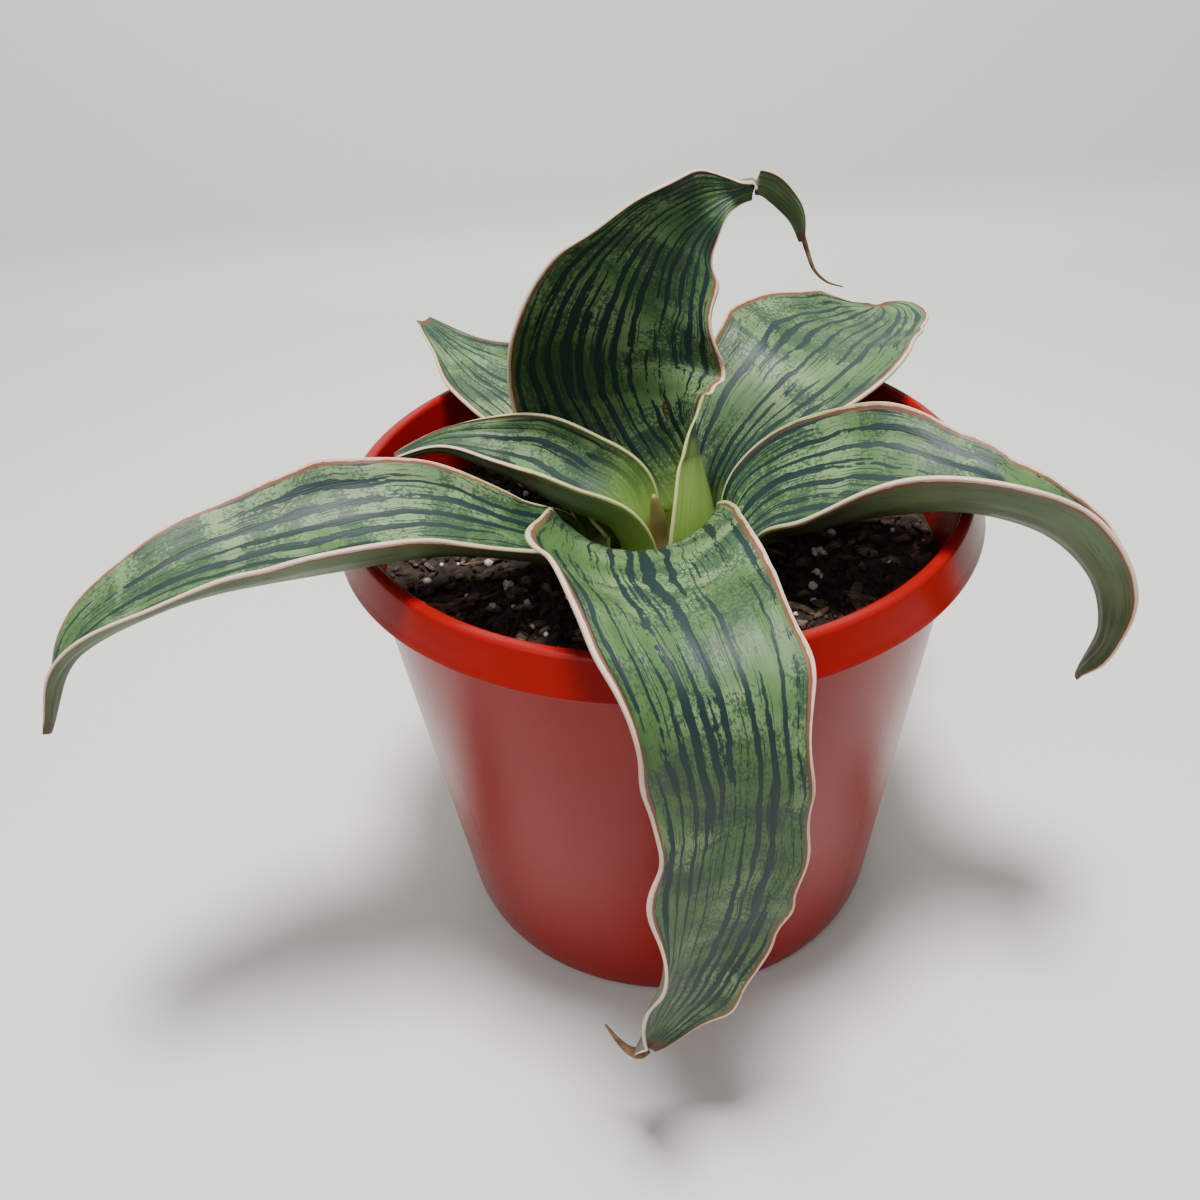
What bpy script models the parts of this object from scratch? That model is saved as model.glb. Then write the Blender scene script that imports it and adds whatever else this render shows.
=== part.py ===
"""Potted snake plant: a red plastic nursery pot, potting mix, and a rosette of
seven thick arching leaves round one new leaf.

Metres, +Z up. The origin is the centre of the pot's flat base. +X is the side
that the long right-hand leaf reaches over, and the hanging leaf falls over -Y.
"""
import math
import random

import bmesh
import bpy
import numpy as np
from mathutils import Matrix, Vector

MM = 0.001

# ---------------------------------------------------------------- pot
RIM_RADIUS = 0.100          # widest point, at the lower edge of the rim band
RIM_TOP_RADIUS = 0.0965     # where the band's outer face meets the rounded top
POT_HEIGHT = 0.162
RIM_BAND = 0.012            # height of the band
RIM_ROUND = 0.0016          # rounding on the band's top
BODY_TOP_RADIUS = 0.0925    # wall just under the band
BASE_RADIUS = 0.0755
BASE_ROUND = 0.003          # rounding where the wall meets the base
WALL = 0.0018
FLOOR_THICK = 0.0025
POT_STEPS = 64              # facets round the pot
DRAIN_HOLES = 6
DRAIN_RADIUS = 0.005
DRAIN_CIRCLE = 0.056        # the holes' circle; the base's centre stays solid

# ---------------------------------------------------------------- soil and crown
GAP = 0.0003                # clearance between pieces that touch
SOIL_TOP = 0.134            # mean soil level, 28 mm below the rim
SOIL_CROWN_RISE = 0.002     # the mix is banked up a little towards the crown
SOCKET_RADIUS = 0.0315      # well in the soil that the crown sits in
SOCKET_FLOOR = 0.119
CROWN_RADIUS = 0.031
CROWN_TOP = 0.1257
LEAF_FOOT = 0.126           # the height at which every leaf leaves the crown
ROOTS = 6
ROOT_LENGTH = 0.062
ROOT_TOP_RADIUS = 0.0028
ROOT_TIP_RADIUS = 0.0012
ROOT_SPREAD = math.radians(38)

# ---------------------------------------------------------------- leaves
LEAF_ROWS = 28              # sections along a leaf
LEAF_COLS = 8               # facets across a leaf
MIDRIB_THICK = 0.0026
MARGIN_THICK = 0.0014
TIP_THIN = 0.45             # share of the thickness left at the tip
FOOT_LENGTH = 0.022         # the sheathed foot of a leaf, which stands upright

# Each leaf has a compass direction (degrees from +X) and a few sections along
# its midrib, from the foot to the tip. A section is, in mm and degrees:
#   reach   distance from the crown's axis, in the leaf's direction
#   side    sideways offset, positive to the left of that direction
#   height  above the pot's base
#   half    half the width, measured round the section's curve
#   roll    turn about the midrib, positive raises the left margin
#   cup     half the angle that the section's arc spans; it opens upwards
LEAVES = {
    "leaf_left": (207, [
        (24, 0, 126, 18, 0, 43),
        (26, 1, 137, 17, -1, 42),
        (47, 6, 153, 19, -4, 48),
        (78, 0, 166, 26, -7, 56),
        (104, -2, 169, 31, 2, 60),
        (120, -7, 169, 28, 2, 50),
        (150, -11, 167, 21, 7, 42),
        (176, -12, 157, 13, 13, 39),
        (188, -8, 139, 3, 22, 41)]),
    "leaf_right": (-24, [
        (24, 0, 126, 17, 8, 40),
        (26, 1, 136, 18, 12, 42),
        (36, 7, 147, 25, 17, 51),
        (59, 4, 158, 32, 8, 54),
        (83, -2, 165, 31, -10, 52),
        (101, -5, 167, 28, -22, 51),
        (117, -4, 162, 25, -23, 51),
        (130, -3, 150, 20, -12, 49),
        (136, -2, 133, 13, 5, 46),
        (133, 1, 111, 4, 25, 42)]),
    "leaf_front": (-88, [
        (20, 0, 126, 20, 0, 57),
        (22, -1, 138, 22, 0, 58),
        (35, -8, 154, 29, -2, 54),
        (57, -11, 165, 31, -3, 45),
        (78, -9, 170, 30, -5, 39),
        (98, -5, 172, 27, -9, 34),
        (113, -1, 164, 24, -12, 31),
        (119, 2, 148, 21, -6, 27),
        (120, 3, 128, 20, -2, 28),
        (121, 0, 106, 21, -15, 35),
        (122, -5, 84, 21, -28, 44),
        (122, -13, 60, 16, -26, 50),
        (120, -22, 38, 4, -18, 58)]),
    "leaf_tall": (90, [
        (10, -13, 126, 36, -52, 128),
        (10, -13, 137, 36, -52, 125),
        (18, -7, 147, 34, -40, 99),
        (25, 0, 158, 33, -26, 74),
        (29, 6, 170, 35, -17, 54),
        (29, 9, 184, 37, -11, 43),
        (26, 7, 200, 34, -7, 40),
        (24, 0, 216, 26, -4, 42),
        (23, -9, 229, 18, 5, 44),
        (23, -17, 234, 12, 16, 43),
        (25, -29, 237, 4, 27, 39),
        (25, -35, 238, 5, 40, 38),
        (25, -41, 234, 5, 45, 38),
        (25, -46, 228, 3, 45, 38),
        (25, -48, 221, 1, 45, 38)]),
    "leaf_back_right": (40, [
        (27, 1, 126, 12, 0, 25),
        (28, 2, 137, 13, 0, 26),
        (37, 4, 149, 18, -3, 33),
        (51, 2, 161, 27, 2, 36),
        (69, -1, 171, 33, 7, 32),
        (90, 2, 174, 31, 4, 31),
        (106, 4, 172, 26, 2, 31),
        (117, 5, 172, 20, 1, 31),
        (124, 8, 172, 11, 0, 31),
        (127, 11, 172, 3, 0, 31)]),
    "leaf_back_left": (127, [
        (27, 0, 126, 14, 0, 29),
        (28, 0, 137, 15, -1, 32),
        (39, -1, 147, 18, -4, 38),
        (52, 0, 156, 21, -6, 40),
        (69, 2, 163, 22, -6, 39),
        (86, 5, 167, 18, -2, 39),
        (103, 6, 172, 10, 4, 40),
        (120, 6, 178, 3, 6, 43)]),
    "leaf_inner": (172, [
        (10, 0, 126, 16, 0, 94),
        (10, 0, 136, 16, 0, 94),
        (15, -2, 144, 20, -6, 94),
        (27, -4, 150, 22, -10, 94),
        (42, -7, 158, 19, -15, 89),
        (53, -6, 163, 14, -10, 76),
        (67, -5, 167, 8, 2, 63),
        (84, -3, 164, 2, 2, 52)]),
}

NEW_LEAF_TIP = (-0.001, -0.004, 0.154)
NEW_LEAF_RADIUS = 0.0048

# ---------------------------------------------------------------- loose pieces
BARK_CHIPS = 9
PERLITE_GRAINS = 10
TWIGS = 2
SOIL_SEED = 11
TRIM_INNER = 0.052          # loose pieces lie between these two radii
TRIM_OUTER = 0.080

RED_PLASTIC = (0.42, 0.006, 0.004, 1)
LEAF_GREEN = (0.075, 0.14, 0.045, 1)
NEW_LEAF_PINK = (0.30, 0.13, 0.07, 1)
SOIL_BROWN = (0.022, 0.015, 0.010, 1)
CROWN_CREAM = (0.42, 0.36, 0.20, 1)
BARK_BROWN = (0.11, 0.07, 0.045, 1)
PERLITE_WHITE = (0.72, 0.70, 0.65, 1)
TWIG_BROWN = (0.20, 0.13, 0.07, 1)


# ---------------------------------------------------------------- helpers
def clear_scene():
    for obj in list(bpy.data.objects):
        bpy.data.objects.remove(obj, do_unlink=True)


def make_collection(name):
    collection = bpy.data.collections.new(name)
    bpy.context.scene.collection.children.link(collection)
    return collection


def make_material(name, colour, roughness):
    material = bpy.data.materials.new(name)
    material.use_nodes = True
    shader = material.node_tree.nodes["Principled BSDF"]
    shader.inputs["Base Color"].default_value = colour
    shader.inputs["Roughness"].default_value = roughness
    shader.inputs["Metallic"].default_value = 0.0
    material.diffuse_color = colour
    return material


def add_object(name, mesh, collection, material=None):
    obj = bpy.data.objects.new(name, mesh)
    collection.objects.link(obj)
    if material:
        mesh.materials.append(material)
    return obj


def mesh_from_bmesh(name, bm):
    mesh = bpy.data.meshes.new(name)
    bm.to_mesh(mesh)
    bm.free()
    return mesh


def shade_round(mesh, angle_degrees=35):
    mesh.shade_smooth()
    mesh.set_sharp_from_angle(angle=math.radians(angle_degrees))


def arc(centre, radius, start, end, steps):
    """Points (r, z) on an arc, angles in degrees."""
    angles = np.radians(np.linspace(start, end, steps + 1))
    return [(centre[0] + radius * math.cos(a), centre[1] + radius * math.sin(a)) for a in angles]


def turned(name, profile, steps, collection, material):
    """Revolve an (r, z) profile round Z; it runs down the outer side."""
    mesh = bpy.data.meshes.new(name)
    edges = [(i, i + 1) for i in range(len(profile) - 1)]
    mesh.from_pydata([(r, 0, z) for r, z in profile], edges, [])
    obj = add_object(name, mesh, collection, material)
    screw = obj.modifiers.new("turn", "SCREW")
    screw.axis = "Z"
    screw.steps = steps
    screw.render_steps = steps
    screw.use_merge_vertices = True
    screw.merge_threshold = 0.00001
    return obj


def subtract(target, cutter):
    cutter.hide_render = True
    cutter.display_type = "WIRE"
    boolean = target.modifiers.new("cut " + cutter.name, "BOOLEAN")
    boolean.operation = "DIFFERENCE"
    boolean.solver = "EXACT"
    boolean.object = cutter


def on_curve(knots, values, at):
    """Cubic through the values at the knots, with central-difference slopes."""
    slopes = np.gradient(values, knots, axis=0)
    i = np.clip(np.searchsorted(knots, at, side="right") - 1, 0, len(knots) - 2)
    span = knots[i + 1] - knots[i]
    u = (at - knots[i]) / span
    if values.ndim > 1:
        span = span[:, None]
        u = u[:, None]
    start = (2 * u**3 - 3 * u**2 + 1) * values[i] + (u**3 - 2 * u**2 + u) * span * slopes[i]
    end = (3 * u**2 - 2 * u**3) * values[i + 1] + (u**3 - u**2) * span * slopes[i + 1]
    return start + end


# ---------------------------------------------------------------- pot
def wall_radius(z):
    """Outer radius of the pot's wall at a height."""
    wall_top = POT_HEIGHT - RIM_BAND
    return BASE_RADIUS + (BODY_TOP_RADIUS - BASE_RADIUS) * z / wall_top


def make_pot(collection, cutters, material):
    band_bottom = POT_HEIGHT - RIM_BAND
    inner_top = wall_radius(POT_HEIGHT) - WALL
    skirt = RIM_RADIUS - WALL
    profile = [(0, FLOOR_THICK), (wall_radius(FLOOR_THICK) - WALL - 0.002, FLOOR_THICK)]
    profile += [(wall_radius(FLOOR_THICK + 0.002) - WALL, FLOOR_THICK + 0.002)]
    profile += [(wall_radius(POT_HEIGHT / 2) - WALL, POT_HEIGHT / 2)]
    profile += arc((inner_top + RIM_ROUND, POT_HEIGHT - RIM_ROUND), RIM_ROUND, 180, 90, 3)
    profile += arc((RIM_TOP_RADIUS - RIM_ROUND, POT_HEIGHT - RIM_ROUND), RIM_ROUND, 90, 15, 3)
    profile += [(RIM_TOP_RADIUS + 0.0015, POT_HEIGHT - 0.005)]
    profile += [(RIM_RADIUS, band_bottom + 0.0012), (RIM_RADIUS - 0.0004, band_bottom)]
    profile += [(skirt, band_bottom), (RIM_TOP_RADIUS - WALL, POT_HEIGHT - 0.005)]
    profile += [(wall_radius(POT_HEIGHT - 0.005) + 0.0003, POT_HEIGHT - 0.005)]
    profile += [(wall_radius(band_bottom), band_bottom), (wall_radius(0.070), 0.070)]
    profile += arc((BASE_RADIUS - BASE_ROUND, BASE_ROUND), BASE_ROUND, 0, -90, 3)
    profile += [(0, 0)]
    pot = turned("pot", profile, POT_STEPS, collection, material)
    for i in range(DRAIN_HOLES):
        angle = 2 * math.pi * (i + 0.5) / DRAIN_HOLES
        bm = bmesh.new()
        bmesh.ops.create_cone(bm, cap_ends=True, segments=16, radius1=DRAIN_RADIUS,
                              radius2=DRAIN_RADIUS, depth=4 * FLOOR_THICK)
        hole = add_object(f"drain_hole_{i + 1}", mesh_from_bmesh("drain_hole", bm), cutters)
        hole.location = (DRAIN_CIRCLE * math.cos(angle), DRAIN_CIRCLE * math.sin(angle), 0)
        subtract(pot, hole)
    return pot


# ---------------------------------------------------------------- soil and crown
def soil_height(r):
    """Soil level at a distance from the axis: banked up towards the crown."""
    edge = wall_radius(SOIL_TOP)
    return SOIL_TOP + SOIL_CROWN_RISE * (0.5 - r / edge)


def root_cone(name, index, extra, collection):
    """One tapering root, leaving the crown's underside and leaning outwards."""
    bm = bmesh.new()
    bmesh.ops.create_cone(bm, cap_ends=True, segments=8, radius1=ROOT_TIP_RADIUS + extra,
                          radius2=ROOT_TOP_RADIUS + extra, depth=ROOT_LENGTH + 2 * extra)
    root = add_object(name, mesh_from_bmesh(name, bm), collection)
    azimuth = 2 * math.pi * (index + 0.25) / ROOTS
    lean = ROOT_SPREAD * (0.55 + 0.45 * (index % 2))
    down = Vector((math.sin(lean) * math.cos(azimuth), math.sin(lean) * math.sin(azimuth),
                   -math.cos(lean)))
    start = Vector((0.012 * math.cos(azimuth), 0.012 * math.sin(azimuth), SOCKET_FLOOR + 0.003))
    root.location = start + down * (ROOT_LENGTH / 2)
    root.rotation_euler = down.to_track_quat("-Z", "Y").to_euler()
    return root


def make_soil(collection, cutters, material):
    bottom = FLOOR_THICK + GAP
    wall_gap = WALL + GAP
    profile = [(0, SOCKET_FLOOR), (SOCKET_RADIUS, SOCKET_FLOOR)]
    profile += [(SOCKET_RADIUS, soil_height(SOCKET_RADIUS))]
    profile += [(0.055, soil_height(0.055) + 0.0006), (0.075, soil_height(0.075) - 0.0006)]
    profile += [(wall_radius(SOIL_TOP - 0.001) - wall_gap, SOIL_TOP - 0.001)]
    profile += [(wall_radius(POT_HEIGHT / 2) - wall_gap, POT_HEIGHT / 2)]
    profile += [(wall_radius(bottom + 0.002) - wall_gap, bottom + 0.0022)]
    profile += [(wall_radius(bottom) - wall_gap - 0.0022, bottom), (0, bottom)]
    soil = turned("soil", profile, 48, collection, material)
    for i in range(ROOTS):
        subtract(soil, root_cone(f"root_bore_{i + 1}", i, GAP, cutters))
    return soil


def make_crown(collection, cutters, material):
    """The short stem that carries the leaves, with its thick roots."""
    profile = [(0, CROWN_TOP), (CROWN_RADIUS - 0.003, CROWN_TOP)]
    profile += [(CROWN_RADIUS, CROWN_TOP - 0.002), (CROWN_RADIUS, SOCKET_FLOOR + 0.002)]
    profile += [(CROWN_RADIUS - 0.002, SOCKET_FLOOR + GAP), (0, SOCKET_FLOOR + GAP)]
    crown = turned("crown", profile, 36, collection, material)
    for i in range(ROOTS):
        root = root_cone(f"root_{i + 1}", i, 0.0, cutters)
        root.hide_render = True
        root.display_type = "WIRE"
        join = crown.modifiers.new(root.name, "BOOLEAN")
        join.operation = "UNION"
        join.solver = "EXACT"
        join.object = root
    return crown


# ---------------------------------------------------------------- leaves
def leaf_grid(azimuth, sections, rows, cols):
    """Points and normals of a leaf's upper face, and its half thickness."""
    table = np.array(sections, dtype=float)
    angle = math.radians(azimuth)
    ahead = np.array([math.cos(angle), math.sin(angle), 0.0])
    left = np.array([-math.sin(angle), math.cos(angle), 0.0])
    spine = np.outer(table[:, 0], ahead) + np.outer(table[:, 1], left)
    spine[:, 2] = table[:, 2]
    spine *= MM
    steps = np.linalg.norm(np.diff(spine, axis=0), axis=1)
    knots = np.concatenate([[0.0], np.cumsum(steps)])
    knots /= knots[-1]
    along = np.linspace(0, 1, rows + 1)
    points = on_curve(knots, spine, along)
    half = on_curve(knots, table[:, 3] * MM, along)
    roll = np.radians(on_curve(knots, table[:, 4], along))
    cup = np.radians(on_curve(knots, table[:, 5], along))

    tangent = np.gradient(points, axis=0)
    tangent /= np.linalg.norm(tangent, axis=1)[:, None]
    upright = np.clip(1 - along * steps.sum() / FOOT_LENGTH, 0, 1)[:, None]
    tangent = tangent * (1 - upright) + np.array([0.0, 0.0, 1.0]) * upright
    tangent /= np.linalg.norm(tangent, axis=1)[:, None]
    side = left - tangent * (tangent @ left)[:, None]
    side /= np.linalg.norm(side, axis=1)[:, None]
    up = np.cross(tangent, side)
    turned_side = np.cos(roll)[:, None] * side + np.sin(roll)[:, None] * up
    turned_up = np.cos(roll)[:, None] * up - np.sin(roll)[:, None] * side

    across = np.linspace(-1, 1, cols + 1)
    radius = half / cup
    bend = cup[:, None] * across
    out = (radius[:, None] * np.sin(bend))[..., None] * turned_side[:, None]
    rise = (radius[:, None] * (1 - np.cos(bend)))[..., None] * turned_up[:, None]
    face = points[:, None] + out + rise
    normal = (np.cos(bend)[..., None] * turned_up[:, None]
              - np.sin(bend)[..., None] * turned_side[:, None])
    thick = MIDRIB_THICK + (MARGIN_THICK - MIDRIB_THICK) * across**2
    thick = thick[None, :] * (1 - (1 - TIP_THIN) * along[:, None] ** 3)
    return face, normal, thick


def leaf_mesh(name, azimuth, sections):
    """A closed leaf: upper face, underside, both margins and both ends."""
    face, normal, thick = leaf_grid(azimuth, sections, LEAF_ROWS, LEAF_COLS)
    back = face - normal * thick[..., None]
    rows, cols = LEAF_ROWS + 1, LEAF_COLS + 1
    verts = np.concatenate([face.reshape(-1, 3), back.reshape(-1, 3)])
    under = rows * cols
    faces = []
    for i in range(rows - 1):
        for j in range(cols - 1):
            a = i * cols + j
            b = a + cols
            faces.append((a, b, b + 1, a + 1))
            faces.append((under + a, under + a + 1, under + b + 1, under + b))
    for i in range(rows - 1):
        right = i * cols
        left = right + cols - 1
        faces.append((right, under + right, under + right + cols, right + cols))
        faces.append((left, left + cols, under + left + cols, under + left))
    for j in range(cols - 1):
        tip = (rows - 1) * cols + j
        faces.append((j, j + 1, under + j + 1, under + j))
        faces.append((tip, under + tip, under + tip + 1, tip + 1))
    mesh = bpy.data.meshes.new(name)
    mesh.from_pydata([tuple(v) for v in verts], [], faces)
    bm = bmesh.new()
    bm.from_mesh(mesh)
    bmesh.ops.triangulate(bm, faces=bm.faces)
    bmesh.ops.recalc_face_normals(bm, faces=bm.faces)
    bm.to_mesh(mesh)
    bm.free()
    shade_round(mesh, 50)
    return mesh


def make_new_leaf(collection, material):
    """The youngest leaf, still rolled into a spike."""
    base = Vector((0, 0, LEAF_FOOT))
    tip = Vector(NEW_LEAF_TIP)
    rings = 8
    sides = 12
    bm = bmesh.new()
    loops = []
    for k in range(rings):
        t = k / (rings - 1)
        radius = NEW_LEAF_RADIUS * (1 - t) ** 0.8 + 0.0007
        centre = base.lerp(tip, t)
        loop = []
        for s in range(sides):
            a = 2 * math.pi * s / sides
            loop.append(bm.verts.new(centre + Vector((math.cos(a), math.sin(a), 0)) * radius))
        loops.append(loop)
    for low, high in zip(loops, loops[1:]):
        for s in range(sides):
            n = (s + 1) % sides
            bm.faces.new((low[s], low[n], high[n], high[s]))
    bm.faces.new(list(reversed(loops[0])))
    bm.faces.new(loops[-1])
    mesh = mesh_from_bmesh("new_leaf", bm)
    shade_round(mesh)
    return add_object("new_leaf", mesh, collection, material)


# ---------------------------------------------------------------- loose pieces
def lump(name, size, rng, detail):
    """An irregular lump: an icosphere pushed in and out, then scaled."""
    bm = bmesh.new()
    bmesh.ops.create_icosphere(bm, subdivisions=detail, radius=0.5)
    for vert in bm.verts:
        vert.co *= 1 + rng.uniform(-0.18, 0.18)
        vert.co.x *= size[0]
        vert.co.y *= size[1]
        vert.co.z *= size[2]
    return mesh_from_bmesh(name, bm)


def rest_on_soil(obj, azimuth, radius, turn):
    """Put a lump on the soil so that its lowest point clears the surface."""
    for vert in obj.data.vertices:
        vert.co = Matrix.Rotation(turn, 3, "Z") @ vert.co
    lowest = min(vert.co.z for vert in obj.data.vertices)
    ground = soil_height(radius - 0.006) + 0.0006
    obj.location = (radius * math.cos(azimuth), radius * math.sin(azimuth),
                    ground + 2 * GAP - lowest)


def make_trim(collection, bark, perlite, twig):
    """Bark, perlite and twigs, on two rings so that no two pieces meet."""
    rng = random.Random(SOIL_SEED)
    for i in range(BARK_CHIPS):
        name = f"bark_chip_{i + 1}"
        size = (rng.uniform(0.011, 0.016), rng.uniform(0.005, 0.007), rng.uniform(0.002, 0.003))
        obj = add_object(name, lump(name, size, rng, 1), collection, bark)
        rest_on_soil(obj, 2 * math.pi * (i + 0.1) / BARK_CHIPS, TRIM_INNER + 0.018,
                     rng.uniform(0, math.pi))
    for i in range(PERLITE_GRAINS):
        name = f"perlite_grain_{i + 1}"
        width = rng.uniform(0.0035, 0.0055)
        obj = add_object(name, lump(name, (width, width * 0.85, width * 0.75), rng, 1),
                         collection, perlite)
        rest_on_soil(obj, 2 * math.pi * (i + 0.6) / PERLITE_GRAINS,
                     TRIM_INNER if i % 2 else TRIM_OUTER, rng.uniform(0, math.pi))
    for i in range(TWIGS):
        name = f"twig_{i + 1}"
        obj = add_object(name, lump(name, (0.018, 0.0018, 0.0018), rng, 1), collection, twig)
        rest_on_soil(obj, math.radians(118 + 180 * i), TRIM_INNER + 0.004, rng.uniform(0, math.pi))


def build():
    clear_scene()
    plant = make_collection("potted_snake_plant")
    cutters = make_collection("cutters")
    red = make_material("red_plastic", RED_PLASTIC, 0.25)
    green = make_material("leaf_skin", LEAF_GREEN, 0.45)
    pink = make_material("new_leaf_skin", NEW_LEAF_PINK, 0.5)
    brown = make_material("potting_mix", SOIL_BROWN, 0.95)
    cream = make_material("crown_flesh", CROWN_CREAM, 0.6)
    bark = make_material("bark", BARK_BROWN, 0.9)
    perlite = make_material("perlite", PERLITE_WHITE, 0.9)
    twig = make_material("twig", TWIG_BROWN, 0.9)

    make_pot(plant, cutters, red)
    make_soil(plant, cutters, brown)
    make_crown(plant, cutters, cream)
    for name, (azimuth, sections) in LEAVES.items():
        add_object(name, leaf_mesh(name, azimuth, sections), plant, green)
    make_new_leaf(plant, pink)
    make_trim(plant, bark, perlite, twig)


build()
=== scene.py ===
"""Looks for the potted snake plant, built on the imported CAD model."""
import math
import random

import bmesh
import bpy
import numpy as np
from mathutils import Matrix, Vector, noise


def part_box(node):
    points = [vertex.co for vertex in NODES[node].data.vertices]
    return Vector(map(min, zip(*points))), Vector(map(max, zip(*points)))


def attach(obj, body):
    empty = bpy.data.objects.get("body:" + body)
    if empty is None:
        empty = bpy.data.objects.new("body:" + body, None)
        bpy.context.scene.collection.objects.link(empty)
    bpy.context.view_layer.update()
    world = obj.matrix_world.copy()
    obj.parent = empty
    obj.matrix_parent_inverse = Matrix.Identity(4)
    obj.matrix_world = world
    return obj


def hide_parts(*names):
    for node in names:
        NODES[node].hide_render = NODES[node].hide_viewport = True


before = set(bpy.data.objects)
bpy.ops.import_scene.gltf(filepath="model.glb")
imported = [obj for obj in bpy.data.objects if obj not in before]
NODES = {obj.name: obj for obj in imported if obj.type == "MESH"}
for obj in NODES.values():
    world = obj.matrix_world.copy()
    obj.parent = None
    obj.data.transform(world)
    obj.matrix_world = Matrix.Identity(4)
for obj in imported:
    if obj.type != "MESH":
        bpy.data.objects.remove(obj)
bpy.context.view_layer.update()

MM = 0.001

# Leaf sections: reach, side, height, half width (mm), roll, cup (degrees).
LEAVES = {
    "leaf_left": (207, [
        (24, 0, 126, 18, 0, 43), (26, 1, 137, 17, -1, 42), (47, 6, 153, 19, -4, 48),
        (78, 0, 166, 26, -7, 56), (104, -2, 169, 31, 2, 60), (120, -7, 169, 28, 2, 50),
        (150, -11, 167, 21, 7, 42), (176, -12, 157, 13, 13, 39), (188, -8, 139, 3, 22, 41)]),
    "leaf_right": (-24, [
        (24, 0, 126, 17, 8, 40), (26, 1, 136, 18, 12, 42), (36, 7, 147, 25, 17, 51),
        (59, 4, 158, 32, 8, 54), (83, -2, 165, 31, -10, 52), (101, -5, 167, 28, -22, 51),
        (117, -4, 162, 25, -23, 51), (130, -3, 150, 20, -12, 49), (136, -2, 133, 13, 5, 46),
        (133, 1, 111, 4, 25, 42)]),
    "leaf_front": (-88, [
        (20, 0, 126, 20, 0, 57), (22, -1, 138, 22, 0, 58), (35, -8, 154, 29, -2, 54),
        (57, -11, 165, 31, -3, 45), (78, -9, 170, 30, -5, 39), (98, -5, 172, 27, -9, 34),
        (113, -1, 164, 24, -12, 31), (119, 2, 148, 21, -6, 27), (120, 3, 128, 20, -2, 28),
        (121, 0, 106, 21, -15, 35), (122, -5, 84, 21, -28, 44), (122, -13, 60, 16, -26, 50),
        (120, -22, 38, 4, -18, 58)]),
    "leaf_tall": (90, [
        (10, -13, 126, 36, -52, 128), (10, -13, 137, 36, -52, 125), (18, -7, 147, 34, -40, 99),
        (25, 0, 158, 33, -26, 74), (29, 6, 170, 35, -17, 54), (29, 9, 184, 37, -11, 43),
        (26, 7, 200, 34, -7, 40), (24, 0, 216, 26, -4, 42), (23, -9, 229, 18, 5, 44),
        (23, -17, 234, 12, 16, 43), (25, -29, 237, 4, 27, 39), (25, -35, 238, 5, 40, 38),
        (25, -41, 234, 5, 45, 38), (25, -46, 228, 3, 45, 38), (25, -48, 221, 1, 45, 38)]),
    "leaf_back_right": (40, [
        (27, 1, 126, 12, 0, 25), (28, 2, 137, 13, 0, 26), (37, 4, 149, 18, -3, 33),
        (51, 2, 161, 27, 2, 36), (69, -1, 171, 33, 7, 32), (90, 2, 174, 31, 4, 31),
        (106, 4, 172, 26, 2, 31), (117, 5, 172, 20, 1, 31), (124, 8, 172, 11, 0, 31),
        (127, 11, 172, 3, 0, 31)]),
    "leaf_back_left": (127, [
        (27, 0, 126, 14, 0, 29), (28, 0, 137, 15, -1, 32), (39, -1, 147, 18, -4, 38),
        (52, 0, 156, 21, -6, 40), (69, 2, 163, 22, -6, 39), (86, 5, 167, 18, -2, 39),
        (103, 6, 172, 10, 4, 40), (120, 6, 178, 3, 6, 43)]),
    "leaf_inner": (172, [
        (10, 0, 126, 16, 0, 94), (10, 0, 136, 16, 0, 94), (15, -2, 144, 20, -6, 94),
        (27, -4, 150, 22, -10, 94), (42, -7, 158, 19, -15, 89), (53, -6, 163, 14, -10, 76),
        (67, -5, 167, 8, 2, 63), (84, -3, 164, 2, 2, 52)]),
}
# Margin waviness: depth in mm, wavelength in mm, phase.
RUFFLES = {"leaf_left": (0.9, 46, 0.4), "leaf_right": (1.3, 40, 1.7), "leaf_front": (2.4, 38, 0.6),
           "leaf_tall": (1.5, 33, 2.2), "leaf_back_right": (0.9, 42, 0.9),
           "leaf_back_left": (0.7, 40, 3.0), "leaf_inner": (0.5, 36, 1.2)}
STRIPES = {"leaf_left": 10, "leaf_right": 11, "leaf_front": 12, "leaf_tall": 14,
           "leaf_back_right": 12, "leaf_back_left": 9, "leaf_inner": 11}
SHEATH = {"leaf_tall": 0.040, "leaf_inner": 0.034}    # length of the lime green foot, metres
ROWS, COLS = 240, 44
MIDRIB_THICK, MARGIN_THICK, TIP_THIN, FOOT_LENGTH = 0.0026, 0.0012, 0.40, 0.022


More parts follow.
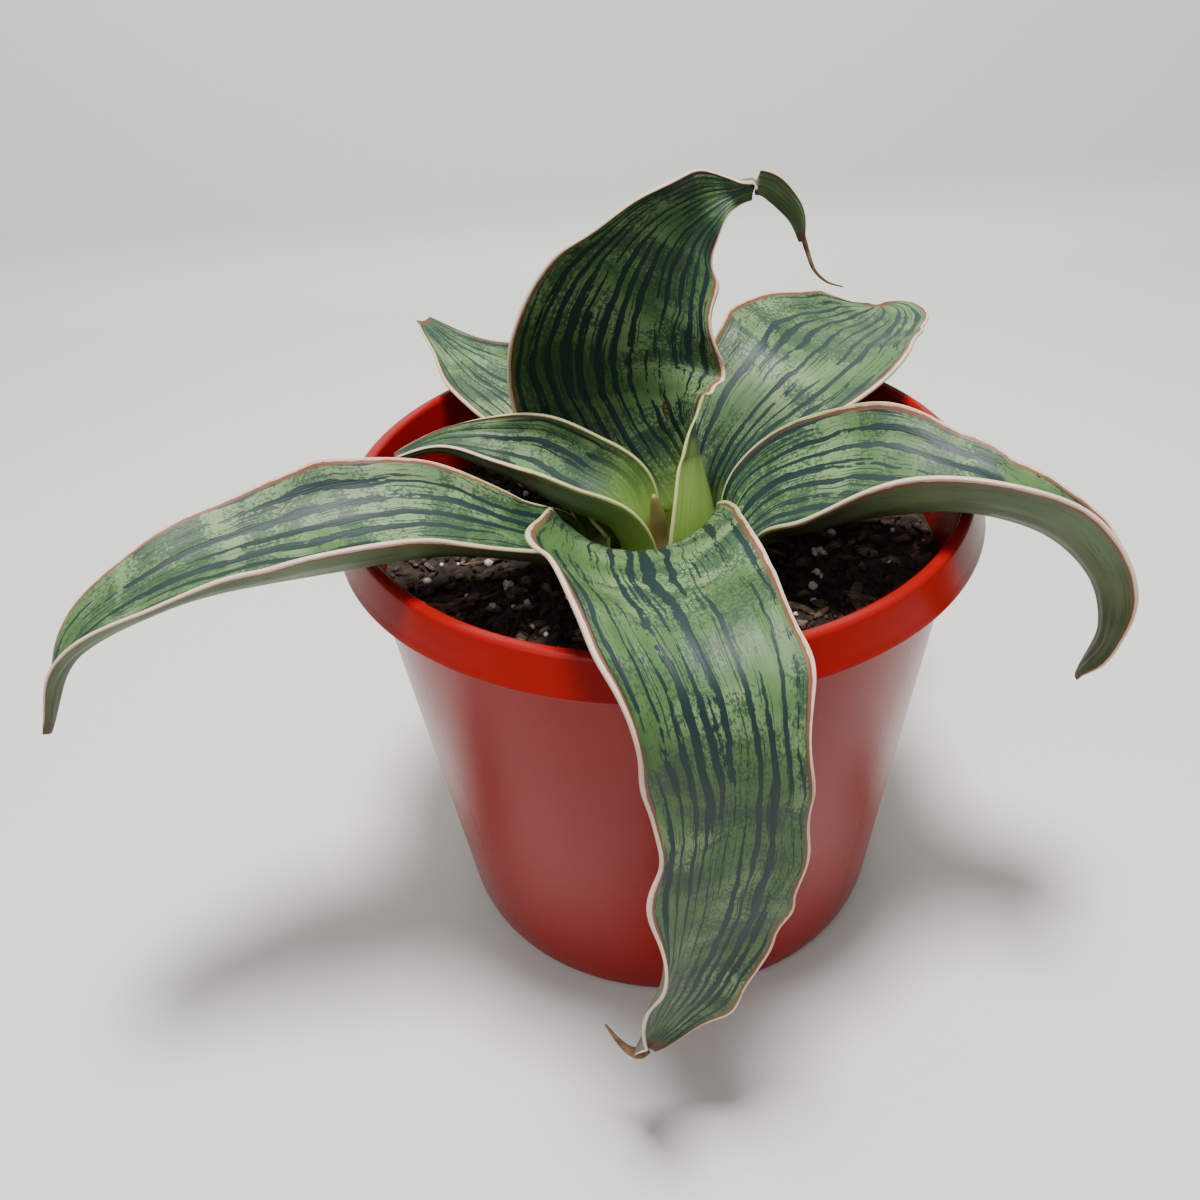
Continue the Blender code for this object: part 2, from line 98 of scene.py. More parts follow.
# ---------------------------------------------------------------- node helpers
class Shader:
    """A small builder for one procedural material."""

    def __init__(self, name):
        self.material = bpy.data.materials.new(name)
        self.material.use_nodes = True
        self.tree = self.material.node_tree
        self.out = self.tree.nodes["Principled BSDF"]

    def node(self, kind, **values):
        made = self.tree.nodes.new(kind)
        for key, value in values.items():
            setattr(made, key, value)
        return made

    def put(self, socket, value):
        if isinstance(value, bpy.types.NodeSocket):
            self.tree.links.new(value, socket)
        else:
            socket.default_value = value

    def attribute(self, name):
        return self.node("ShaderNodeAttribute", attribute_name=name).outputs["Fac"]

    def math(self, operation, a, b=0.0, clamp=False):
        made = self.node("ShaderNodeMath", operation=operation, use_clamp=clamp)
        self.put(made.inputs[0], a)
        self.put(made.inputs[1], b)
        return made.outputs[0]

    def vector(self, x, y, z=0.0):
        made = self.node("ShaderNodeCombineXYZ")
        for socket, value in zip(made.inputs, (x, y, z)):
            self.put(socket, value)
        return made.outputs[0]

    def place(self):
        return self.node("ShaderNodeTexCoord").outputs["Object"]

    def noise(self, where, scale, detail=4.0, rough=0.55, warp=0.0):
        made = self.node("ShaderNodeTexNoise")
        self.put(made.inputs["Vector"], where)
        made.inputs["Scale"].default_value = scale
        made.inputs["Detail"].default_value = detail
        made.inputs["Roughness"].default_value = rough
        made.inputs["Distortion"].default_value = warp
        return made.outputs["Fac"]

    def step(self, value, low, high):
        """0 below low, 1 above high, smooth between; swaps round if low > high."""
        made = self.node("ShaderNodeMapRange", interpolation_type="SMOOTHSTEP")
        self.put(made.inputs["Value"], value)
        flip = low > high
        made.inputs["From Min"].default_value = min(low, high)
        made.inputs["From Max"].default_value = max(low, high)
        made.inputs["To Min"].default_value = 1.0 if flip else 0.0
        made.inputs["To Max"].default_value = 0.0 if flip else 1.0
        return made.outputs["Result"]

    def mix(self, factor, a, b):
        made = self.node("ShaderNodeMix", data_type="RGBA")
        self.put(made.inputs["Factor"], factor)
        self.put(made.inputs["A"], a)
        self.put(made.inputs["B"], b)
        return made.outputs["Result"]

    def bump(self, height, depth, strength=1.0):
        made = self.node("ShaderNodeBump")
        self.put(made.inputs["Height"], height)
        made.inputs["Distance"].default_value = depth
        made.inputs["Strength"].default_value = strength
        self.put(self.out.inputs["Normal"], made.outputs["Normal"])

    def finish(self, colour, roughness):
        self.put(self.out.inputs["Base Color"], colour)
        self.put(self.out.inputs["Roughness"], roughness)
        return self.material


def rgb(r, g, b):
    return (r, g, b, 1.0)


def leaf_skin(name, stripes, seed, sheath):
    """Green leaf with dark stripes and mottled bands, and a pale edge with a brown line."""
    s = Shader(name)
    across, along = s.attribute("across"), s.attribute("along")
    share, under, foot = s.attribute("share"), s.attribute("under"), s.attribute("foot")
    flat = s.vector(s.math("MULTIPLY", across, 0.03), along, seed)
    wander = s.noise(flat, 45, 2)
    drift = s.math("MULTIPLY", s.math("SUBTRACT", wander, 0.5), 0.22)
    lane = s.math("ADD", across, drift)
    ribbon = s.vector(s.math("MULTIPLY", lane, stripes * 0.60), s.math("MULTIPLY", along, 9), seed)
    bands = s.vector(s.math("MULTIPLY", across, 1.1), s.math("MULTIPLY", along, 62), seed + 7.7)
    band = s.noise(bands, 1.0, 3, 0.6, 0.6)
    broad = s.noise(ribbon, 1.9, 1.5, 0.5)
    hair = s.vector(s.math("MULTIPLY", lane, stripes * 2.0), s.math("MULTIPLY", along, 26), seed + 3.1)
    thin = s.noise(hair, 1.8, 2.0, 0.5)
    comb = s.math("SINE", s.math("MULTIPLY", lane, stripes * math.pi))
    ragged = s.noise(s.vector(s.math("MULTIPLY", across, 26), s.math("MULTIPLY", along, 420), seed), 1.0, 4)
    ragged = s.math("MULTIPLY", s.math("SUBTRACT", ragged, 0.5), 0.22)
    field = s.math("ADD", s.math("MULTIPLY", comb, 0.15), s.math("ADD", broad, ragged))
    field = s.math("ADD", field, s.math("MULTIPLY", s.math("SUBTRACT", band, 0.5), 0.35))
    bold = s.step(field, 0.565, 0.592)
    fine = s.math("MULTIPLY", s.step(s.math("ADD", thin, ragged), 0.60, 0.64), 0.85)
    stripe = s.math("MAXIMUM", bold, fine)

    speck = s.noise(flat, 900, 3, 0.7)
    blotch = s.step(s.math("ADD", band, s.math("MULTIPLY", s.math("SUBTRACT", speck, 0.5), 0.9)), 0.45, 0.57)
    pale = s.step(s.noise(bands, 0.7, 2), 0.38, 0.66)

    ground = s.mix(pale, rgb(0.056, 0.118, 0.032), rgb(0.150, 0.230, 0.098))
    ground = s.mix(s.math("MULTIPLY", blotch, 0.88), ground, rgb(0.024, 0.056, 0.026))
    ground = s.mix(s.math("MULTIPLY", s.step(speck, 0.62, 0.70), 0.45), ground, rgb(0.030, 0.060, 0.030))
    top = s.mix(stripe, ground, rgb(0.0085, 0.024, 0.022))
    dash = s.math("MULTIPLY", s.step(s.math("ADD", thin, ragged), 0.66, 0.70), 0.8)
    back = s.mix(pale, rgb(0.062, 0.100, 0.042), rgb(0.110, 0.155, 0.072))
    back = s.mix(dash, back, rgb(0.020, 0.045, 0.030))
    skin = s.mix(under, top, back)
    skin = s.mix(s.step(foot, sheath, 0.2 * sheath), skin, rgb(0.150, 0.250, 0.040))

    width = s.math("ABSOLUTE", across)
    edge = s.math("ADD", width, s.math("MULTIPLY", s.math("SUBTRACT", s.noise(flat, 260, 3), 0.5), 0.035))
    rust = s.math("MULTIPLY", s.step(edge, 0.925, 0.950), s.step(foot, 0.015, 0.06))
    skin = s.mix(s.math("MULTIPLY", rust, 0.85), skin, rgb(0.190, 0.065, 0.035))
    hue = s.mix(s.step(foot, 0.03, 0.09), rgb(0.40, 0.42, 0.17), rgb(0.62, 0.44, 0.34))
    skin = s.mix(s.step(edge, 0.968, 0.980), skin, hue)
    skin = s.mix(s.step(share, 0.972, 0.990), skin, rgb(0.115, 0.050, 0.026))
    scar = s.math("MULTIPLY", s.step(s.attribute("scar"), 0.35, 0.6), s.step(speck, 0.40, 0.50))
    skin = s.mix(scar, skin, rgb(0.060, 0.026, 0.016))

    grain = s.vector(s.math("MULTIPLY", across, 60), s.math("MULTIPLY", along, 60), seed)
    relief = s.math("ADD", s.noise(grain, 1.0, 4), s.math("MULTIPLY", stripe, 0.25))
    s.bump(relief, 0.00035, 0.5)
    s.out.inputs["Specular IOR Level"].default_value = 0.30
    return s.finish(skin, s.math("ADD", s.math("MULTIPLY", speck, 0.16), 0.38))


def red_plastic():
    s = Shader("red_plastic_look")
    place = s.place()
    cloud = s.noise(place, 14, 3)
    colour = s.mix(cloud, rgb(0.205, 0.003, 0.003), rgb(0.270, 0.005, 0.004))
    dust = s.step(s.noise(place, 520, 4, 0.7), 0.66, 0.74)
    low = s.step(s.noise(place, 9, 2), 0.45, 0.7)
    colour = s.mix(s.math("MULTIPLY", s.math("MULTIPLY", dust, low), 0.35), colour, rgb(0.16, 0.09, 0.06))
    rub = s.noise(s.vector(0.0, 0.0, s.math("MULTIPLY", s.attribute("level"), 900)), 1.0, 2)
    s.bump(s.math("ADD", s.math("MULTIPLY", rub, 0.35), s.noise(place, 60, 3)), 0.0004, 0.22)
    s.out.inputs["Specular IOR Level"].default_value = 0.20
    return s.finish(colour, s.math("ADD", s.math("MULTIPLY", cloud, 0.10), 0.20))


def earthy(name, dark, light, scale, rough=0.9, depth=0.0012, grain=None):
    """Crumbly or woody matt stuff: two tones, fine specks and a rough relief."""
    s = Shader(name)
    place = s.place()
    if grain:
        stretch = s.node("ShaderNodeMapping")
        s.put(stretch.inputs["Vector"], place)
        stretch.inputs["Scale"].default_value = grain
        place = stretch.outputs["Vector"]
    coarse = s.noise(place, scale, 6, 0.65)
    fine = s.noise(place, scale * 6, 4, 0.7)
    colour = s.mix(s.step(coarse, 0.35, 0.68), dark, light)
    colour = s.mix(s.math("MULTIPLY", s.step(fine, 0.55, 0.75), 0.5), colour, dark)
    s.bump(s.math("ADD", coarse, s.math("MULTIPLY", fine, 0.5)), depth, 0.8)
    s.out.inputs["Specular IOR Level"].default_value = 0.25
    return s.finish(colour, s.math("SUBTRACT", rough, s.math("MULTIPLY", fine, 0.15)))


def plain_floor():
    s = Shader("pale_floor")
    cloud = s.noise(s.place(), 1.3, 3)
    return s.finish(s.mix(cloud, rgb(0.63, 0.63, 0.585), rgb(0.67, 0.67, 0.63)), 0.62)


# ---------------------------------------------------------------- mesh helpers
def add_piece(name, mesh, material, nodes=(), smooth=True):
    piece = bpy.data.objects.new(name, mesh)
    bpy.context.scene.collection.objects.link(piece)
    mesh.materials.append(material)
    if smooth:
        mesh.shade_smooth()
    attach(piece, "root")
    if nodes:
        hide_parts(*nodes)
    return piece


def from_bmesh(name, bm):
    bmesh.ops.recalc_face_normals(bm, faces=bm.faces)
    mesh = bpy.data.meshes.new(name)
    bm.to_mesh(mesh)
    bm.free()
    return mesh


def on_curve(knots, values, at):
    slopes = np.gradient(values, knots, axis=0)
    i = np.clip(np.searchsorted(knots, at, side="right") - 1, 0, len(knots) - 2)
    span = knots[i + 1] - knots[i]
    u = (at - knots[i]) / span
    if values.ndim > 1:
        span = span[:, None]
        u = u[:, None]
    start = (2 * u**3 - 3 * u**2 + 1) * values[i] + (u**3 - 2 * u**2 + u) * span * slopes[i]
    end = (3 * u**2 - 2 * u**3) * values[i + 1] + (u**3 - u**2) * span * slopes[i + 1]
    return start + end


def soften(values, passes):
    for _ in range(passes):
        values[1:-1] = 0.25 * values[:-2] + 0.5 * values[1:-1] + 0.25 * values[2:]
    return values


# ---------------------------------------------------------------- leaves
def leaf_face(name, azimuth, sections):
    """Upper face points, normals, thickness and distance along, for one leaf."""
    table = np.array(sections, dtype=float)
    angle = math.radians(azimuth)
    ahead = np.array([math.cos(angle), math.sin(angle), 0.0])
    left = np.array([-math.sin(angle), math.cos(angle), 0.0])
    spine = np.outer(table[:, 0], ahead) + np.outer(table[:, 1], left)
    spine[:, 2] = table[:, 2]
    spine *= MM
    steps = np.linalg.norm(np.diff(spine, axis=0), axis=1)
    knots = np.concatenate([[0.0], np.cumsum(steps)])
    length = knots[-1]
    knots /= length
    share = np.linspace(0, 1, ROWS + 1)
    points = on_curve(knots, spine, share)
    half = on_curve(knots, table[:, 3] * MM, share)
    roll = np.radians(soften(on_curve(knots, table[:, 4], share), 60))
    cup = np.radians(soften(on_curve(knots, table[:, 5], share), 60))

    depth, wave, phase = RUFFLES[name]
    travel = share * length
    calm = np.clip(travel / 0.05, 0, 1) * np.clip((1 - share) / 0.08, 0, 1)
    notch = [np.array([noise.noise(Vector((t * 1000 / wave * 2.1, phase * 5 + k, 0))) for t in travel])
             for k in (0, 9)]
    trim = 1 + calm[:, None] * np.stack([notch[0], notch[1]], axis=1) * depth * MM / half[:, None] * 1.4

    tangent = np.gradient(points, axis=0)
    tangent /= np.linalg.norm(tangent, axis=1)[:, None]
    upright = np.clip(1 - travel / FOOT_LENGTH, 0, 1)[:, None]
    tangent = tangent * (1 - upright) + np.array([0.0, 0.0, 1.0]) * upright
    tangent = soften(tangent, 20)
    tangent /= np.linalg.norm(tangent, axis=1)[:, None]
    side = left - tangent * (tangent @ left)[:, None]
    side /= np.linalg.norm(side, axis=1)[:, None]
    up = np.cross(tangent, side)
    turned_side = np.cos(roll)[:, None] * side + np.sin(roll)[:, None] * up
    turned_up = np.cos(roll)[:, None] * up - np.sin(roll)[:, None] * side

    across = np.sin(np.linspace(-1, 1, COLS + 1) * math.pi / 2 * 0.92) / math.sin(math.pi / 2 * 0.92)
    width = np.where(across < 0, trim[:, :1], trim[:, 1:]) - 1
    reach = across * (1 + width * np.abs(across) ** 3)
    radius = half / cup
    bend = cup[:, None] * reach
    out = (radius[:, None] * np.sin(bend))[..., None] * turned_side[:, None]
    rise = (radius[:, None] * (1 - np.cos(bend)))[..., None] * turned_up[:, None]
    normal = np.cos(bend)[..., None] * turned_up[:, None] - np.sin(bend)[..., None] * turned_side[:, None]
    ripple = np.sin(2 * math.pi * travel * 1000 / wave + phase)[:, None] * np.abs(across) ** 4
    ripple = ripple * np.where(across < 0, 1.0, -0.8) * (depth * MM * calm * 0.8)[:, None]
    flute = np.sin(across * STRIPES[name] * 2.1 + phase) * (0.00022 * calm)[:, None]
    face = points[:, None] + out + rise + normal * (ripple + flute)[..., None]
    thick = MIDRIB_THICK + (MARGIN_THICK - MIDRIB_THICK) * across**2
    thick = thick[None, :] * (1 - (1 - TIP_THIN) * share[:, None] ** 3)
    return face, normal, thick, across, share, length


def make_leaf(name, seed):
    face, normal, thick, across, share, length = leaf_face(name, *LEAVES[name])
    back = face - normal * thick[..., None]
    rows, cols = ROWS + 1, COLS + 1
    lip = 0.45 * (face[:, [0, -1]] + back[:, [0, -1]]) + 0.05 * (face[:, [1, -2]] + back[:, [1, -2]])
    rim = lip + 1.1 * (lip - 0.5 * (face[:, [1, -2]] + back[:, [1, -2]])) * 0.25
    verts = np.concatenate([face.reshape(-1, 3), back.reshape(-1, 3), rim.reshape(-1, 3)])
    under, edge = rows * cols, 2 * rows * cols
    faces = []
    for i in range(rows - 1):
        for j in range(cols - 1):
            a, b = i * cols + j, (i + 1) * cols + j
            faces.append((a, a + 1, b + 1, b))
            faces.append((under + a, under + b, under + b + 1, under + a + 1))
        for k, j in ((0, 0), (1, cols - 1)):
            a, b, e, g = i * cols + j, (i + 1) * cols + j, edge + 2 * i + k, edge + 2 * i + 2 + k
            pair = [(a, b, g, e), (e, g, under + b, under + a)]
            faces.extend(pair if k == 0 else [tuple(reversed(p)) for p in pair])
    for i, row in ((0, 0), (rows - 1, (rows - 1) * cols)):
        loop = [row + j for j in range(cols)] + [edge + 2 * i + 1]
        loop += [under + row + j for j in reversed(range(cols))] + [edge + 2 * i]
        faces.append(tuple(loop) if i else tuple(reversed(loop)))
    mesh = bpy.data.meshes.new(name + "_skin")
    mesh.from_pydata([tuple(v) for v in verts], [], faces)
    bm = bmesh.new()
    bm.from_mesh(mesh)
    bmesh.ops.triangulate(bm, faces=[f for f in bm.faces if len(f.verts) > 4])
    bmesh.ops.recalc_face_normals(bm, faces=bm.faces)
    bm.to_mesh(mesh)
    bm.free()

    grid_across = np.tile(across, rows)
    grid_share = np.repeat(share, cols)
    edge_share = np.repeat(share, 2)
    values = {
        "across": np.concatenate([grid_across, grid_across, np.tile([-1.0, 1.0], rows)]),
        "share": np.concatenate([grid_share, grid_share, edge_share]),
        "under": np.concatenate([np.zeros(under), np.ones(under), np.full(2 * rows, 0.5)]),
    }
    values["along"] = values["share"] * length
    values["foot"] = values["share"] * length
    scar_at = (0.0, 0.0, 0.0) if name != "leaf_tall" else (0.006, 0.024, 0.170)
    distance = np.linalg.norm((verts - np.array(scar_at)) * np.array([1.6, 0.4, 0.55]), axis=1)
    values["scar"] = np.clip(1 - distance / 0.0042, 0, 1)
    for key, data in values.items():
        mesh.attributes.new(key, "FLOAT", "POINT").data.foreach_set("value", data.astype(np.float32))
    look = leaf_skin(name + "_look", STRIPES[name], seed, SHEATH.get(name, 0.018))
    return add_piece(name + "_skin", mesh, look, (name,))


def tube(name, path, radii, material, nodes=(), sides=10):
    """A tapering tube through the points of a path."""
    bm = bmesh.new()
    loops = []
    for i, point in enumerate(path):
        ahead = (path[min(i + 1, len(path) - 1)] - path[max(i - 1, 0)]).normalized()
        turn = ahead.to_track_quat("Z", "Y")
        ring = [turn @ Vector((math.cos(a), math.sin(a), 0)) * radii[i] + point
                for a in np.linspace(0, 2 * math.pi, sides, endpoint=False)]
        loops.append([bm.verts.new(v) for v in ring])
    for low, high in zip(loops, loops[1:]):
        for k in range(sides):
            bm.faces.new((low[k], low[(k + 1) % sides], high[(k + 1) % sides], high[k]))
    bm.faces.new(list(reversed(loops[0])))
    bm.faces.new(loops[-1])
    return add_piece(name, from_bmesh(name, bm), material, nodes)


def curve_points(stops, count):
    stops = np.array(stops, dtype=float) * MM
    knots = np.linspace(0, 1, len(stops))
    return [Vector(p) for p in on_curve(knots, stops, np.linspace(0, 1, count))]


# ---------------------------------------------------------------- pot
def lathe(name, profile, steps):
    """Revolve an (r, z) profile that starts and ends on the axis."""
    bm = bmesh.new()
    loops = []
    for r, z in profile:
        if r < 1e-6:
            loops.append([bm.verts.new((0, 0, z))])
            continue
        loops.append([bm.verts.new((r * math.cos(a), r * math.sin(a), z))
                      for a in np.linspace(0, 2 * math.pi, steps, endpoint=False)])
    for low, high in zip(loops, loops[1:]):
        for k in range(steps):
            n = (k + 1) % steps
            ring = [low[k % len(low)], low[n % len(low)], high[n % len(high)], high[k % len(high)]]
            ring = list(dict.fromkeys(ring))
            bm.faces.new(ring)
    return bm


def arc(centre, radius, start, end, steps):
    angles = np.radians(np.linspace(start, end, steps + 1))
    return [(centre[0] + radius * math.cos(a), centre[1] + radius * math.sin(a)) for a in angles]


def wall_radius(z):
    return 0.0755 + (0.0925 - 0.0755) * z / 0.150


def make_pot(material):
    inside = [(0, 0.0025), (0.050, 0.0025), (0.0715, 0.0025), (0.0739, 0.0048)]
    inside += [(wall_radius(z) - 0.0018, z) for z in np.linspace(0.010, 0.156, 24)]
    top = arc((0.0937, 0.1603), 0.0016, 180, 90, 6) + arc((0.0948, 0.1603), 0.0016, 90, 20, 6)
    band = [(0.0969, 0.1590), (0.0978, 0.1568), (0.0987, 0.1542), (0.0995, 0.1520)]
    band += arc((0.0992, 0.1508), 0.0008, 20, -80, 5) + [(0.0983, 0.1502), (0.0950, 0.1566)]
    band += [(0.0936, 0.1568), (0.0929, 0.1555)]
    outside = [(wall_radius(z), z) for z in np.linspace(0.150, 0.005, 30)]
    foot = arc((0.0725, 0.003), 0.003, 0, -90, 6) + [(0.0690, 0.0), (0.0, 0.0)]
    bm = lathe("pot", inside + top + band + outside + foot, 168)
    pot_mesh = from_bmesh("pot_shell", bm)
    level = np.array([v.co.z for v in pot_mesh.vertices], dtype=np.float32)
    pot_mesh.attributes.new("level", "FLOAT", "POINT").data.foreach_set("value", level)
    pot = add_piece("pot_shell", pot_mesh, material, ("pot",), smooth=False)
    for i in range(6):
        angle = 2 * math.pi * (i + 0.5) / 6
        bm = bmesh.new()
        bmesh.ops.create_cone(bm, cap_ends=True, segments=28, radius1=0.005, radius2=0.005, depth=0.01)
        hole = bpy.data.objects.new("hole", from_bmesh("hole", bm))
        bpy.context.scene.collection.objects.link(hole)
        hole.location = (0.056 * math.cos(angle), 0.056 * math.sin(angle), 0)
        cut = pot.modifiers.new("hole", "BOOLEAN")
        cut.operation, cut.solver, cut.object = "DIFFERENCE", "EXACT", hole
        bpy.context.view_layer.update()
        done = bpy.data.meshes.new_from_object(pot.evaluated_get(bpy.context.evaluated_depsgraph_get()))
        pot.modifiers.clear()
        pot.data = done
        bpy.data.objects.remove(hole, do_unlink=True)
    pot.data.shade_smooth()
    pot.data.set_sharp_from_angle(angle=math.radians(42))
    return pot


# ---------------------------------------------------------------- soil
def soil_level(x, y):
    """Uneven top of the mix: low mounds, crumbs and pits."""
    r = math.hypot(x, y)
    base = 0.1345 - 0.0012 * r / 0.09
    mound = noise.noise(Vector((x * 38, y * 38, 1.0))) * 0.0022
    crumb = noise.noise(Vector((x * 190, y * 190, 4.0))) * 0.0013
    grit = noise.noise(Vector((x * 520, y * 520, 9.0))) * 0.0006
    edge = min(1.0, max(0.0, (0.0885 - r) / 0.004))
    return base + (mound + crumb + grit) * edge


def make_soil(material):
    outer = wall_radius(0.133) - 0.0021
    radii = list(np.linspace(0.0315, outer, 92))
    profile = [(0, 0.119), (0.0315, 0.119)] + [(r, 0.134) for r in radii]
    profile += [(wall_radius(z) - 0.0021, z) for z in (0.131, 0.10, 0.06, 0.01)]
    profile += [(0.0735, 0.005), (0.0712, 0.0028), (0, 0.0028)]
    bm = lathe("soil", profile, 330)
    for v in bm.verts:
        if abs(v.co.z - 0.134) < 1e-6:
            v.co.z = soil_level(v.co.x, v.co.y)
    return add_piece("soil_mix", from_bmesh("soil_mix", bm), material, ("soil",))


def lump_into(bm, size, place, rng, detail=1, rough=0.25):
    """Add one irregular lump, turned at random, to a mesh."""
    made = bmesh.ops.create_icosphere(bm, subdivisions=detail, radius=0.5)["verts"]
    turn = Matrix.Rotation(rng.uniform(0, 6.28), 3, "Z") @ Matrix.Rotation(rng.uniform(-0.5, 0.5), 3, "X")
    shift = Vector((rng.uniform(0, 50), rng.uniform(0, 50), 0))
    for v in made:
        co = v.co * (1 + rough * 2 * noise.noise(v.co * 3.2 + shift))
        co = turn @ Vector((co.x * size[0], co.y * size[1], co.z * size[2]))
        v.co = co + place


def scatter(name, count, material, rng, sizes, detail, sink, spread=(0.034, 0.0865)):
    """Many small lumps on the soil, as one piece."""
    bm = bmesh.new()
    for _ in range(count):
        r = math.sqrt(rng.uniform(spread[0] ** 2, spread[1] ** 2))
        a = rng.uniform(0, 2 * math.pi)
        x, y = r * math.cos(a), r * math.sin(a)
        size = sizes(rng)
        place = Vector((x, y, soil_level(x, y) + size[2] * sink))
        lump_into(bm, size, place, rng, detail)
    return add_piece(name, from_bmesh(name, bm), material)


def detail_cad_lumps(prefix, count, detail, material, squash):
    """Finer lumps in the places of the CAD bark chips or perlite grains."""
    rng = random.Random(count)
    for i in range(count):
        node = f"{prefix}_{i + 1}"
        low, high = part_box(node)
        low, high = Vector(low), Vector(high)
        centre, size = (low + high) / 2, high - low
        centre.z = soil_level(centre.x, centre.y) + size.z * squash
        bm = bmesh.new()
        flat = (max(size.x, size.y), min(size.x, size.y), size.z * 1.1)
        lump_into(bm, flat, centre, rng, detail, 0.45)
        add_piece(node + "_skin", from_bmesh(node, bm), material, (node,))


# ---------------------------------------------------------------- stage
def add_light(name, place, size, power, target=(0, 0, 0.1), colour=(1, 1, 1)):
    data = bpy.data.lights.new(name, "AREA")
    data.shape, data.size, data.energy, data.color = "DISK", size, power, colour
    light = bpy.data.objects.new(name, data)
    bpy.context.scene.collection.objects.link(light)
    light.location = place
    light.rotation_euler = (Vector(target) - Vector(place)).to_track_quat("-Z", "Y").to_euler()


def add_stage():
    bm = bmesh.new()
    front, back, top, wide = -0.75, 0.62, 1.3, 1.6
    rows = [(front, 0.0), (back - 0.06, 0.0)]
    rows += [(back - 0.06 + 0.06 * math.sin(a), 0.06 - 0.06 * math.cos(a))
             for a in np.linspace(0.15, math.pi / 2, 10)]
    rows += [(back, top)]
    lines = [[bm.verts.new((x, y, z - 0.0002)) for x in (-wide, wide)] for y, z in rows]
    for a, b in zip(lines, lines[1:]):
        bm.faces.new((a[0], a[1], b[1], b[0]))
    mesh = from_bmesh("backdrop", bm)
    floor = bpy.data.objects.new("backdrop", mesh)
    bpy.context.scene.collection.objects.link(floor)
    mesh.materials.append(plain_floor())
    mesh.shade_smooth()


def add_camera():
    pitch, roll = math.radians(35.95), math.radians(4.30)
    right = Vector((1, 0, 0))
    ahead = Vector((0, math.cos(pitch), -math.sin(pitch)))
    up = Vector((0, math.sin(pitch), math.cos(pitch)))
    x_axis = right * math.cos(roll) - up * math.sin(roll)
    y_axis = right * math.sin(roll) + up * math.cos(roll)
    matrix = Matrix((x_axis, y_axis, -ahead)).transposed().to_4x4()
    matrix.translation = Vector((-0.02243, -0.31685, 0.34148))
    data = bpy.data.cameras.new("camera")
    data.sensor_width, data.lens, data.clip_start = 36.0, 34.81, 0.01
    data.shift_x, data.shift_y = 0.0057, 0.0013
    camera = bpy.data.objects.new("camera", data)
    camera.matrix_world = matrix
    bpy.context.scene.collection.objects.link(camera)
    bpy.context.scene.camera = camera


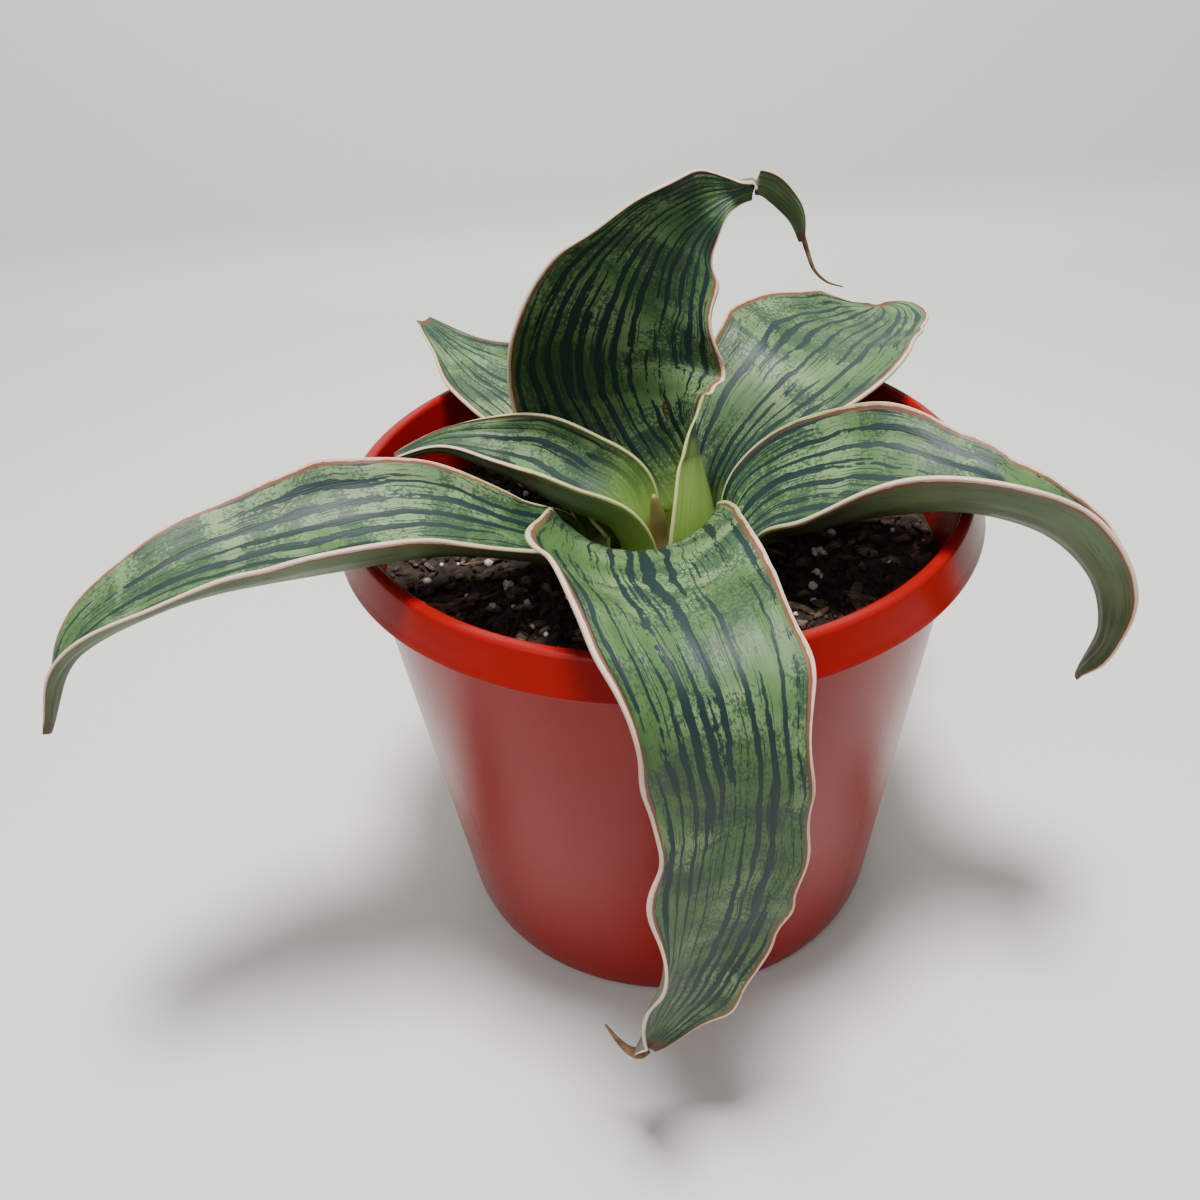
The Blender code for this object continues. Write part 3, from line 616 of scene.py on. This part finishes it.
def build():
    for number, name in enumerate(LEAVES):
        make_leaf(name, 2.37 * number + 1.3)
    dry = earthy("dry_tip_look", rgb(0.10, 0.045, 0.022), rgb(0.26, 0.14, 0.075), 260, 0.8, 0.0004)
    hook = curve_points([(48, 25, 223), (50, 25, 217), (52, 24, 212), (56, 24, 208), (61, 24, 206)], 26)
    tube("tall_tip_tendril", hook, list(np.linspace(0.0009, 0.0002, 26)), dry)
    curl = curve_points([(-17, -121, 39), (-19, -122, 38), (-22, -122, 40), (-25, -121, 44), (-28, -120, 50)], 26)
    tube("front_tip_tendril", curl, list(np.linspace(0.0022, 0.0003, 26)), dry)

    rolled = earthy("new_leaf_look", rgb(0.20, 0.24, 0.06), rgb(0.42, 0.19, 0.10), 90, 0.5, 0.0002, (1, 1, 0.15))
    spike = curve_points([(0, 0, 126), (0, 0, 135), (0, -2, 145), (-1, -4, 154)], 30)
    girth = [0.0046 * (1 - t) ** 0.75 + 0.0005 for t in np.linspace(0, 1, 30)]
    tube("new_leaf_spike", spike, girth, rolled, ("new_leaf",), 20)

    make_pot(red_plastic())
    mix = earthy("potting_mix_look", rgb(0.0090, 0.0062, 0.0048), rgb(0.048, 0.032, 0.022), 240)
    make_soil(mix)
    crown = NODES["crown"]
    crown.data.materials.clear()
    crown.data.materials.append(earthy("crown_look", rgb(0.25, 0.24, 0.10), rgb(0.42, 0.36, 0.20), 60, 0.6, 0.0003))

    rng = random.Random(5)
    bark = earthy("bark_look", rgb(0.045, 0.027, 0.018), rgb(0.190, 0.125, 0.088), 130, 0.88, 0.0010, (1, 4, 3))
    white = earthy("perlite_look", rgb(0.42, 0.40, 0.36), rgb(0.74, 0.72, 0.68), 420, 0.9, 0.0006)
    twig = earthy("twig_look", rgb(0.07, 0.040, 0.022), rgb(0.21, 0.135, 0.080), 200, 0.85, 0.0004)
    crumbs = earthy("crumb_look", rgb(0.014, 0.0090, 0.0065), rgb(0.080, 0.052, 0.036), 300)
    detail_cad_lumps("bark_chip", 9, 3, bark, 0.35)
    detail_cad_lumps("perlite_grain", 10, 3, white, 0.25)
    scatter("soil_crumbs", 1700, crumbs, rng,
            lambda g: [g.uniform(0.0008, 0.0034) for _ in range(3)], 1, 0.15)
    scatter("bark_fragments", 260, bark, rng,
            lambda g: [g.uniform(0.003, 0.009), g.uniform(0.0015, 0.004), g.uniform(0.0010, 0.0022)], 2, 0.4)
    scatter("perlite_specks", 120, white, rng,
            lambda g: [g.uniform(0.0010, 0.0032)] * 3, 2, 0.3)
    for i in range(2):
        low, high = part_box(f"twig_{i + 1}")
        a, b = Vector(low), Vector(high)
        a.z = soil_level(a.x, a.y) + 0.0014
        b.z = soil_level(b.x, b.y) + 0.0018
        middle = (a + b) / 2 + Vector((0.001, -0.001, 0.0009))
        path = curve_points([tuple(p / MM) for p in (a, middle, b)], 14)
        tube(f"twig_{i + 1}_stem", path, [0.0008] * 13 + [0.0004], twig, (f"twig_{i + 1}",))

    add_stage()
    add_light("ceiling", (0.0, -0.10, 1.35), 0.34, 34)
    add_light("fill", (-0.5, -1.1, 1.0), 1.4, 7)
    world = bpy.data.worlds.new("room")
    world.use_nodes = True
    world.node_tree.nodes["Background"].inputs["Color"].default_value = rgb(0.78, 0.80, 0.82)
    world.node_tree.nodes["Background"].inputs["Strength"].default_value = 0.38
    bpy.context.scene.world = world
    add_camera()


build()
